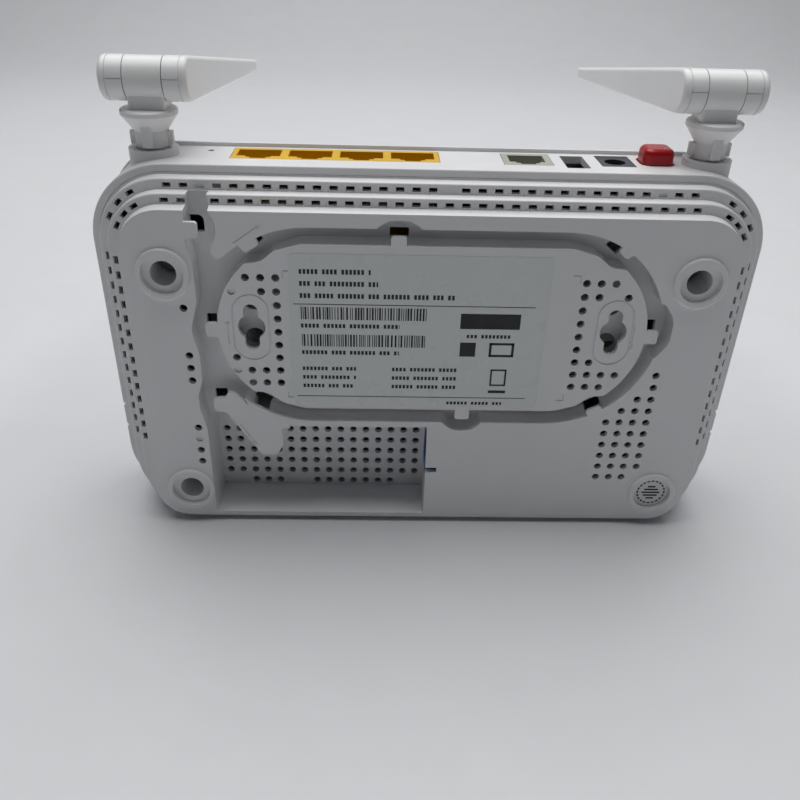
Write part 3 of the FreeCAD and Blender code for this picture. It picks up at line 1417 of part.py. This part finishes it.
def build_hinge_pin(side):
    pin = doc.addObject("Part::Cylinder", "hinge_pin_" + mirrored_name(side))
    pin.Label = "hinge_pin_" + mirrored_name(side)
    pin.setExpression("Radius", cell("pin_radius"))
    pin.setExpression("Height", cell("barrel_length - 3.6"))
    start = hinge_middle(side) - (size("barrel_length") - 3.6) / 2
    place = Vector(start, size("antenna_y"), size("hinge_height"))
    pin.Placement = FreeCAD.Placement(place, FreeCAD.Rotation(ALONG_Y, 90))
    return pin


def build_radiator(side):
    """Thin printed board inside the blade."""
    label = "antenna_radiator_" + mirrored_name(side)
    board = box_node(label, (0, 0, 0))
    frame = hinge_placement(side)
    across, tall = size(label + "_across"), size(label + "_tall")
    corner = frame.multVec(Vector(-across / 2, size("barrel_radius") + 3.0, -tall / 2))
    board.Placement = FreeCAD.Placement(corner, frame.Rotation)
    return board


def build_lock_ring(side):
    """Clip in the stub's groove that keeps the antenna in its boss."""
    name = mirrored_name(side)
    body = new_body("lock_ring_" + name)
    height = "boss_bottom - 2.6 + 1.0"
    ring = new_sketch(body, "ring_circles_" + name, "XY_Plane", height)
    outer = Part.Circle(Vector(0, 0, 0), Vector(0, 0, 1), 4.9)
    inner = Part.Circle(Vector(0, 0, 0), Vector(0, 0, 1), size("stub_groove_radius") + 0.02)
    ring.addGeometry([outer, inner], False)
    pad(body, "ring_plate_" + name, ring, "1.0")
    body.Placement.Base = Vector(side * size("antenna_x"), size("antenna_y"), 0)
    return body


def build_antenna(side):
    nodes = [build_swivel(side), build_lock_ring(side), build_hinge_pin(side)]
    nodes += [build_blade_half(side, False), build_blade_half(side, True), build_radiator(side)]
    return nodes


# ---------------------------------------------------------------- the whole terminal

def build_all():
    nodes = [build_top_cover(), build_bottom_case()]
    nodes.append(build_sticker("label_sticker", box_corners(-38.2, 43.3, 32.0, 89.6, 1.0)))
    nodes.append(build_seal())
    nodes.append(build_case_screws())
    nodes += [build_lan_block(), build_lan_contacts(), build_phone_jack(), build_phone_contacts()]
    nodes += build_usb_parts()
    nodes += build_power_jack()
    nodes.append(build_power_button())
    nodes += build_switches()
    nodes += build_optical_parts()
    nodes += [build_main_board(), build_board_screws()]
    nodes += build_board_parts()
    for side in (-1, 1):
        nodes += build_antenna(side)
    return nodes


def check_and_export(nodes):
    doc.recompute()
    for item in doc.Objects:
        if "Invalid" in item.State or "Error" in item.State:
            raise ValueError("%s is in state %s" % (item.Label, item.State))
    os.makedirs("parts", exist_ok=True)
    for node in nodes:
        shape = node.Shape
        if shape.isNull() or not shape.isValid():
            raise ValueError("%s has no valid shape" % node.Label)
        shape.exportStep("parts/%s.step" % node.Label)
        print("%-26s %8.0f mm3, %d solid(s)" % (node.Label, shape.Volume, len(shape.Solids)))


check_and_export(build_all())
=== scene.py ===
import json
import math
import random

import bmesh
import bpy
from mathutils import Matrix, Vector


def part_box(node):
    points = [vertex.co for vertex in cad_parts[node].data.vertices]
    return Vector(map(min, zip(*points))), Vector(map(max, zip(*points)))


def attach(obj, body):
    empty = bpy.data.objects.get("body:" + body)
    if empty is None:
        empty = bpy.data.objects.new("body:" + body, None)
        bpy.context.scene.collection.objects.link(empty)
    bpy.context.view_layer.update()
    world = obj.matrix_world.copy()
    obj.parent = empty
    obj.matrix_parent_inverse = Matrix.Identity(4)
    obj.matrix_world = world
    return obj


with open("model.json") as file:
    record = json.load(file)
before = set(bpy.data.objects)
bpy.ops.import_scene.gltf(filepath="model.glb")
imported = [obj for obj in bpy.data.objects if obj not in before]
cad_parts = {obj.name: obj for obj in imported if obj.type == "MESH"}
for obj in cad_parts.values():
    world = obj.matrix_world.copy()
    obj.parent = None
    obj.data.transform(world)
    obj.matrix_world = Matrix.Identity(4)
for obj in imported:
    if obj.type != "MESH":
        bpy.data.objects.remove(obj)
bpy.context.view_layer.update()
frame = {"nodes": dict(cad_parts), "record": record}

# An optical network terminal in white plastic, standing on its lower edge. Metres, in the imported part's
# frame: +Z up towards the port panel, the underside faces -Y, +X right when the underside is seen.

nodes = frame["nodes"]
MM = 0.001

# ---------------------------------------------------------------- sizes

# Print on the stickers: a thin closed plate just off the film. Metres.
PRINT_LIFT = 0.00001
PRINT_THICK = 0.00002

# Marks that stand for writing. Millimetres.
MARK_WIDE = 0.7
MARK_GAP = 0.35
WORD_GAP = 0.9
WORD_MARKS = (3, 9)
MARK_HEIGHT_SHARE = 0.8
STRIPE_WIDTHS = (0.22, 0.3, 0.5)
STRIPE_GAPS = (0.25, 0.35, 0.55)

# The label's layout, measured from its upper left corner. Millimetres.
LABEL_SEED = 7
TEXT_LEFT = 2.8
STRIPES_LEFT = 2.9
COLUMN_LEFT = 28.0
RULE_LEFT = 0.9
RULE_MARGIN = 4.4
RULE_TALL = 0.22

# The seal's ring of strokes and the plain bars inside it. Millimetres.
RING_MARKS = 20
RING_RADIUS = 4.2
RING_MARK_WIDE = 0.9
RING_MARK_TALL = 0.5
SEAL_BARS = (2.4, 4.4, 5.6, 4.4, 2.4)
SEAL_BAR_TALL = 0.6
SEAL_BAR_PITCH = 1.1
SEAL_BARS_BELOW = 2.4

# The studio sheet: flat, then a quarter circle, then a wall. Metres.
SHEET_FRONT = -6.0
SHEET_BEND = 0.8
BEND_RADIUS = 0.5
BEND_STEPS = 15
WALL_TOP = 1.8
SHEET_HALF = 5.0

# The camera: metres, millimetres of the lens and sensor, and degrees.
CAMERA_PLACE = (-0.014, -0.2144, 0.165)
LENS = 35.8
SENSOR = 36.0
CAMERA_TURN = 1.836
CAMERA_TILT = 31.206
CAMERA_ROLL = 1.7

WORLD_COLOUR = (0.86, 0.9, 0.95, 1.0)
WORLD_STRENGTH = 0.045

# The part of a noise texture's range that holds nearly all of its values.
NOISE_LOW = 0.3
NOISE_HIGH = 0.7

# Texture scales, features per metre.
PLASTIC_DRIFT = 38.0
PLASTIC_SMUDGE = 130.0
METAL_DRIFT = 260.0
METAL_SMUDGE = 500.0
METAL_GRAIN = 900.0
TRACKS = 420.0

# Depths of surface relief, metres.
PLASTIC_GRAIN_DEPTH = 0.00006
METAL_GRAIN_DEPTH = 0.00004
TRACK_DEPTH = 0.00005

# Light in the plastic: refraction, and how far red, green and blue scatter in metres.
PLASTIC_IOR = 1.49
SCATTER_DEPTHS = (0.0012, 0.0011, 0.001)


# ---------------------------------------------------------------- material building

def new_material(name):
    """A material with its node tree and its shader."""
    material = bpy.data.materials.new(name)
    material.use_nodes = True
    tree = material.node_tree
    shader = tree.nodes["Principled BSDF"]
    return material, tree, shader


def add_node(tree, kind, **settings):
    """A node whose sockets are set by name."""
    node = tree.nodes.new(kind)
    for key, value in settings.items():
        node.inputs[key].default_value = value
    return node


def noise(tree, scale, detail=3.0, roughness=0.5):
    """Noise laid out in the object's own metres."""
    place = tree.nodes.new("ShaderNodeTexCoord")
    texture = add_node(tree, "ShaderNodeTexNoise", Scale=scale, Detail=detail, Roughness=roughness)
    tree.links.new(place.outputs["Object"], texture.inputs["Vector"])
    return texture.outputs["Fac"]


def spread(tree, value, low, high):
    """Maps a noise value to a range."""
    mapping = tree.nodes.new("ShaderNodeMapRange")
    limits = {"From Min": NOISE_LOW, "From Max": NOISE_HIGH, "To Min": low, "To Max": high}
    for key, number in limits.items():
        mapping.inputs[key].default_value = number
    tree.links.new(value, mapping.inputs["Value"])
    return mapping.outputs["Result"]


def blend_colours(tree, value, dark, light):
    """A colour between two, chosen by a texture value."""
    ramp = tree.nodes.new("ShaderNodeValToRGB")
    first, last = ramp.color_ramp.elements
    first.position = NOISE_LOW
    last.position = NOISE_HIGH
    first.color = (*dark, 1.0)
    last.color = (*light, 1.0)
    tree.links.new(value, ramp.inputs["Fac"])
    return ramp.outputs["Color"]


def bump(tree, shader, height, strength, distance):
    """Fine relief on the shader's normal."""
    relief = add_node(tree, "ShaderNodeBump", Strength=strength, Distance=distance)
    tree.links.new(height, relief.inputs["Height"])
    tree.links.new(relief.outputs["Normal"], shader.inputs["Normal"])


def plastic(name, colour, tone, rough, grain, relief, coat=0.0, scatter=0.0):
    """Moulded plastic: faint colour drift, uneven gloss and the fine spark grain of the mould."""
    material, tree, shader = new_material(name)
    drift = noise(tree, PLASTIC_DRIFT, detail=4.0)
    dark = tuple(max(0.0, c * (1.0 - tone)) for c in colour)
    light = tuple(min(1.0, c * (1.0 + tone * 0.5)) for c in colour)
    tree.links.new(blend_colours(tree, drift, dark, light), shader.inputs["Base Color"])
    smudge = noise(tree, PLASTIC_SMUDGE, detail=5.0, roughness=0.6)
    tree.links.new(spread(tree, smudge, *rough), shader.inputs["Roughness"])
    bump(tree, shader, noise(tree, grain, detail=2.0), relief, PLASTIC_GRAIN_DEPTH)
    shader.inputs["IOR"].default_value = PLASTIC_IOR
    shader.inputs["Coat Weight"].default_value = coat
    if scatter:
        shader.inputs["Subsurface Weight"].default_value = scatter
        shader.inputs["Subsurface Radius"].default_value = SCATTER_DEPTHS
        shader.inputs["Subsurface Scale"].default_value = 1.0
    return material


def metal(name, colour, rough=(0.25, 0.42)):
    """Bare or plated metal with a faint grain."""
    material, tree, shader = new_material(name)
    drift = noise(tree, METAL_DRIFT, detail=4.0)
    dark = tuple(c * 0.88 for c in colour)
    tree.links.new(blend_colours(tree, drift, dark, colour), shader.inputs["Base Color"])
    smudge = noise(tree, METAL_SMUDGE, detail=5.0)
    tree.links.new(spread(tree, smudge, *rough), shader.inputs["Roughness"])
    bump(tree, shader, noise(tree, METAL_GRAIN), 0.15, METAL_GRAIN_DEPTH)
    shader.inputs["Metallic"].default_value = 1.0
    return material


def solder_mask(name):
    """Green board lacquer with darker tracks under it."""
    material, tree, shader = new_material(name)
    place = tree.nodes.new("ShaderNodeTexCoord")
    cells = add_node(tree, "ShaderNodeTexVoronoi", Scale=TRACKS)
    cells.distance = "MANHATTAN"
    tree.links.new(place.outputs["Object"], cells.inputs["Vector"])
    tracks = blend_colours(tree, cells.outputs["Distance"], (0.008, 0.09, 0.035), (0.02, 0.2, 0.08))
    tree.links.new(tracks, shader.inputs["Base Color"])
    bump(tree, shader, cells.outputs["Distance"], 0.2, TRACK_DEPTH)
    shader.inputs["Roughness"].default_value = 0.3
    shader.inputs["Coat Weight"].default_value = 0.4
    return material


# Each plastic: name, colour, colour drift, roughness range, grain scale, grain strength.
looks = {
    "case": plastic("case_white", (0.80, 0.80, 0.81), 0.025, (0.32, 0.46), 1500.0, 0.2, scatter=0.04),
    "antenna": plastic("antenna_white", (0.9, 0.9, 0.9), 0.02, (0.3, 0.36), 1500.0, 0.015, scatter=0.04),
    "yellow": plastic("socket_yellow", (0.80, 0.47, 0.004), 0.06, (0.32, 0.44), 1600.0, 0.1),
    "grey": plastic("socket_grey", (0.44, 0.45, 0.38), 0.08, (0.4, 0.55), 1500.0, 0.12),
    "black": plastic("socket_black", (0.016, 0.016, 0.018), 0.3, (0.38, 0.55), 1400.0, 0.14),
    "slate": plastic("jack_slate", (0.05, 0.055, 0.065), 0.15, (0.36, 0.5), 1400.0, 0.12),
    "red": plastic("button_red", (0.46, 0.001, 0.006), 0.1, (0.24, 0.36), 1600.0, 0.08, coat=0.05),
    "blue": plastic("adapter_blue", (0.02, 0.13, 0.5), 0.1, (0.3, 0.42), 1500.0, 0.1),
    "ceramic": plastic("ferrule_white", (0.85, 0.84, 0.8), 0.04, (0.1, 0.2), 3000.0, 0.03),
    "clear": plastic("light_guide", (0.78, 0.8, 0.8), 0.04, (0.12, 0.22), 2000.0, 0.04),
    "film": plastic("label_film", (0.72, 0.75, 0.74), 0.015, (0.24, 0.34), 900.0, 0.05, coat=0.3),
    "chip": plastic("chip_black", (0.02, 0.02, 0.022), 0.2, (0.5, 0.65), 2500.0, 0.2),
    "ink": plastic("label_ink", (0.010, 0.010, 0.012), 0.2, (0.42, 0.58), 1200.0, 0.03),
    "steel": metal("sheet_steel", (0.62, 0.62, 0.6)),
    "screw": metal("screw_steel", (0.32, 0.32, 0.33)),
    "gold": metal("contact_gold", (0.83, 0.6, 0.22), (0.15, 0.28)),
    "aluminium": metal("heatsink_metal", (0.72, 0.72, 0.73), (0.3, 0.5)),
    "board": solder_mask("board_green"),
}

# The look of each material slot of the CAD record.
FINISHES = {
    "case_plastic": "case",
    "antenna_plastic": "antenna",
    "yellow_plastic": "yellow",
    "grey_plastic": "grey",
    "black_plastic": "black",
    "contact_gold": "gold",
    "port_steel": "steel",
    "screw_steel": "screw",
    "red_plastic": "red",
    "blue_plastic": "blue",
    "ceramic": "ceramic",
    "light_plastic": "clear",
    "label": "film",
    "board_green": "board",
    "chip_black": "chip",
    "capacitor_can": "aluminium",
    "heatsink_aluminium": "aluminium",
}

# Nodes that differ a little from the rest of their slot.
NODE_LOOKS = {"power_jack": "slate"}

for part in frame["record"]["subparts"]:
    node = nodes[part["node"]]
    look = NODE_LOOKS.get(part["node"], FINISHES[part["material_slot"]])
    node.data.materials.clear()
    node.data.materials.append(looks[look])


# ---------------------------------------------------------------- printed stickers

def add_mesh(name, build, look, body):
    """A new piece whose mesh code is given; it rides with a body and wears one of the looks."""
    mesh = bpy.data.meshes.new(name)
    shape = bmesh.new()
    build(shape)
    bmesh.ops.recalc_face_normals(shape, faces=shape.faces)
    shape.to_mesh(mesh)
    shape.free()
    mesh.materials.append(looks[look])
    piece = bpy.data.objects.new(name, mesh)
    bpy.context.collection.objects.link(piece)
    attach(piece, body)


def print_bar(shape, x, z, wide, tall, face):
    """One printed bar on a surface facing -Y, as a thin closed plate."""
    matrix = Matrix.Translation((x + wide / 2, face - PRINT_THICK / 2, z + tall / 2))
    matrix = matrix @ Matrix.Diagonal((wide, PRINT_THICK, tall, 1.0))
    bmesh.ops.create_cube(shape, size=1.0, matrix=matrix)


class Printer:
    """Prints plain marks on a sticker facing -Y, in millimetres from the sticker's upper left corner."""

    def __init__(self, shape, node, seed):
        low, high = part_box(node)
        self.shape = shape
        self.face = low[1] - PRINT_LIFT
        self.left = low[0]
        self.top = high[2]
        self.wide = (high[0] - low[0]) / MM
        self.pick = random.Random(seed)

    def bar(self, across, down, wide, tall):
        """A bar whose lower left corner is given."""
        print_bar(self.shape, self.left + across * MM, self.top - down * MM, wide * MM, tall * MM, self.face)

    def rule(self, down):
        """A thin line across the whole sticker."""
        self.bar(RULE_LEFT, down, self.wide - RULE_MARGIN, RULE_TALL)

    def line_of_marks(self, across, down, length, tall):
        """A row of short even strokes in the place of a line of writing."""
        end = across + length
        left_in_word = self.pick.randint(*WORD_MARKS)
        while across < end:
            wide = min(MARK_WIDE, end - across)
            self.bar(across, down, wide, tall * MARK_HEIGHT_SHARE)
            across += wide + MARK_GAP
            left_in_word -= 1
            if left_in_word == 0:
                across += WORD_GAP
                left_in_word = self.pick.randint(*WORD_MARKS)

    def stripes(self, across, down, length, tall):
        """Upright stripes of random widths in the place of a bar code."""
        end = across + length
        while across < end:
            wide = self.pick.choice(STRIPE_WIDTHS)
            self.bar(across, down, wide, tall)
            across += wide + self.pick.choice(STRIPE_GAPS)

    def frame_of_bars(self, across, down, wide, tall, line):
        """An empty frame in the place of a sign."""
        self.bar(across, down, wide, line)
        self.bar(across, down - tall + line, wide, line)
        self.bar(across, down, line, tall)
        self.bar(across + wide - line, down, line, tall)


def print_upper_lines(label):
    """Three lines of marks over a rule."""
    for down, length in ((5.6, 19.0), (9.0, 21.0), (12.5, 42.0)):
        label.line_of_marks(TEXT_LEFT, down, length, tall=1.7)
    label.rule(14.4)


def print_striped_blocks(label):
    """Two striped blocks, each over a line of marks."""
    for down in (18.8, 27.0):
        label.stripes(STRIPES_LEFT, down, length=34.0, tall=3.7)
        label.line_of_marks(TEXT_LEFT, down + 2.5, length=27.0, tall=1.5)


def print_lower_lines(label):
    """Three lines in two columns over a rule, and one short line under it."""
    for down in (34.6, 37.4, 40.2):
        label.line_of_marks(TEXT_LEFT, down, length=15.0, tall=1.4)
        label.line_of_marks(COLUMN_LEFT, down, length=18.5, tall=1.4)
    label.rule(43.2)
    label.line_of_marks(44.0, 45.4, length=16.0, tall=1.2)


def print_signs(label):
    """Plain bars and frames at the right."""
    label.bar(46.5, 21.0, wide=16.5, tall=4.6)
    label.line_of_marks(48.5, 23.8, length=12.5, tall=1.3)
    label.bar(46.8, 29.6, wide=4.4, tall=4.4)
    label.frame_of_bars(55.0, 29.6, wide=7.0, tall=4.4, line=0.7)
    label.frame_of_bars(56.0, 39.0, wide=4.6, tall=5.4, line=0.5)
    label.bar(55.8, 41.4, wide=5.0, tall=0.9)


def build_print(shape):
    """Plain strokes in the places of the label's lines, striped blocks and signs; nothing readable."""
    label = Printer(shape, "label_sticker", LABEL_SEED)
    print_upper_lines(label)
    print_striped_blocks(label)
    print_lower_lines(label)
    print_signs(label)


def build_seal_print(shape):
    """A ring of short strokes around five plain bars."""
    low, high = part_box("seal_sticker")
    face = low[1] - PRINT_LIFT
    middle_x = (low[0] + high[0]) / 2
    middle_z = (low[2] + high[2]) / 2
    centre = Matrix.Translation((middle_x, face - PRINT_THICK / 2, middle_z))
    outward = Matrix.Translation((0.0, 0.0, RING_RADIUS * MM))
    stroke = Matrix.Diagonal((RING_MARK_WIDE * MM, PRINT_THICK, RING_MARK_TALL * MM, 1.0))
    for index in range(RING_MARKS):
        turn = Matrix.Rotation(2 * math.pi * index / RING_MARKS, 4, "Y")
        bmesh.ops.create_cube(shape, size=1.0, matrix=centre @ turn @ outward @ stroke)
    for row, length in enumerate(SEAL_BARS):
        wide = length * MM
        z = middle_z + (row - SEAL_BARS_BELOW) * SEAL_BAR_PITCH * MM
        print_bar(shape, middle_x - wide / 2, z, wide, SEAL_BAR_TALL * MM, face)


add_mesh("label_print", build_print, "ink", "housing")
add_mesh("seal_print", build_seal_print, "ink", "housing")


# ---------------------------------------------------------------- stage, light and camera

def build_floor(shape):
    """One sheet that runs flat under the object and curves up behind it."""
    profile = [(SHEET_FRONT, 0.0), (SHEET_BEND, 0.0)]
    for step in range(1, BEND_STEPS + 1):
        angle = math.radians(90 / BEND_STEPS * step)
        y = SHEET_BEND + BEND_RADIUS * math.sin(angle)
        profile.append((y, BEND_RADIUS - BEND_RADIUS * math.cos(angle)))
    profile.append((SHEET_BEND + BEND_RADIUS, WALL_TOP))
    left, right = ([shape.verts.new((x, y, z)) for y, z in profile] for x in (-SHEET_HALF, SHEET_HALF))
    for index in range(len(profile) - 1):
        shape.faces.new((left[index], right[index], right[index + 1], left[index + 1]))


def add_floor():
    """The pale sheet the object stands on; it belongs to the stage, not to the part."""
    mesh = bpy.data.meshes.new("studio_floor")
    shape = bmesh.new()
    build_floor(shape)
    for face in shape.faces:
        face.smooth = True
    shape.to_mesh(mesh)
    shape.free()
    mesh.materials.append(plastic("studio_paper", (0.74, 0.75, 0.77), 0.015, (0.55, 0.7), 400.0, 0.03))
    floor = bpy.data.objects.new("studio_floor", mesh)
    bpy.context.collection.objects.link(floor)


def add_light(name, place, target, energy, side):
    """A square soft light; energy in watts, side in metres."""
    light = bpy.data.lights.new(name, "AREA")
    light.energy = energy
    light.size = side
    lamp = bpy.data.objects.new(name, light)
    lamp.location = place
    lamp.rotation_euler = (Vector(target) - Vector(place)).to_track_quat("-Z", "Y").to_euler()
    bpy.context.collection.objects.link(lamp)


def set_world():
    """A faint cool light from all around."""
    world = bpy.data.worlds.new("studio")
    world.use_nodes = True
    background = world.node_tree.nodes["Background"]
    background.inputs["Color"].default_value = WORLD_COLOUR
    background.inputs["Strength"].default_value = WORLD_STRENGTH
    bpy.context.scene.world = world


def add_camera():
    """The photograph's view: above and in front of the underside, tilted down at it."""
    data = bpy.data.cameras.new("camera")
    data.lens = LENS
    data.sensor_width = SENSOR
    camera = bpy.data.objects.new("camera", data)
    turn = Matrix.Rotation(math.radians(-CAMERA_TURN), 4, "Z")
    tilt = Matrix.Rotation(math.radians(90 - CAMERA_TILT), 4, "X")
    roll = Matrix.Rotation(math.radians(CAMERA_ROLL), 4, "Z")
    camera.matrix_world = Matrix.Translation(CAMERA_PLACE) @ turn @ tilt @ roll
    bpy.context.collection.objects.link(camera)
    bpy.context.scene.camera = camera
    bpy.context.scene.view_settings.view_transform = "Standard"


add_floor()
add_light("overhead_light", (0.0, 0.28, 1.05), (0.0, 0.0, 0.0), energy=13.2, side=1.2)
add_light("backdrop_light", (0.0, 0.1, 1.5), (0.0, 1.2, 0.5), energy=0.8, side=0.8)
add_light("front_fill", (0.1, -1.2, 0.7), (0.0, 0.0, 0.06), energy=0.1, side=1.0)
set_world()
add_camera()
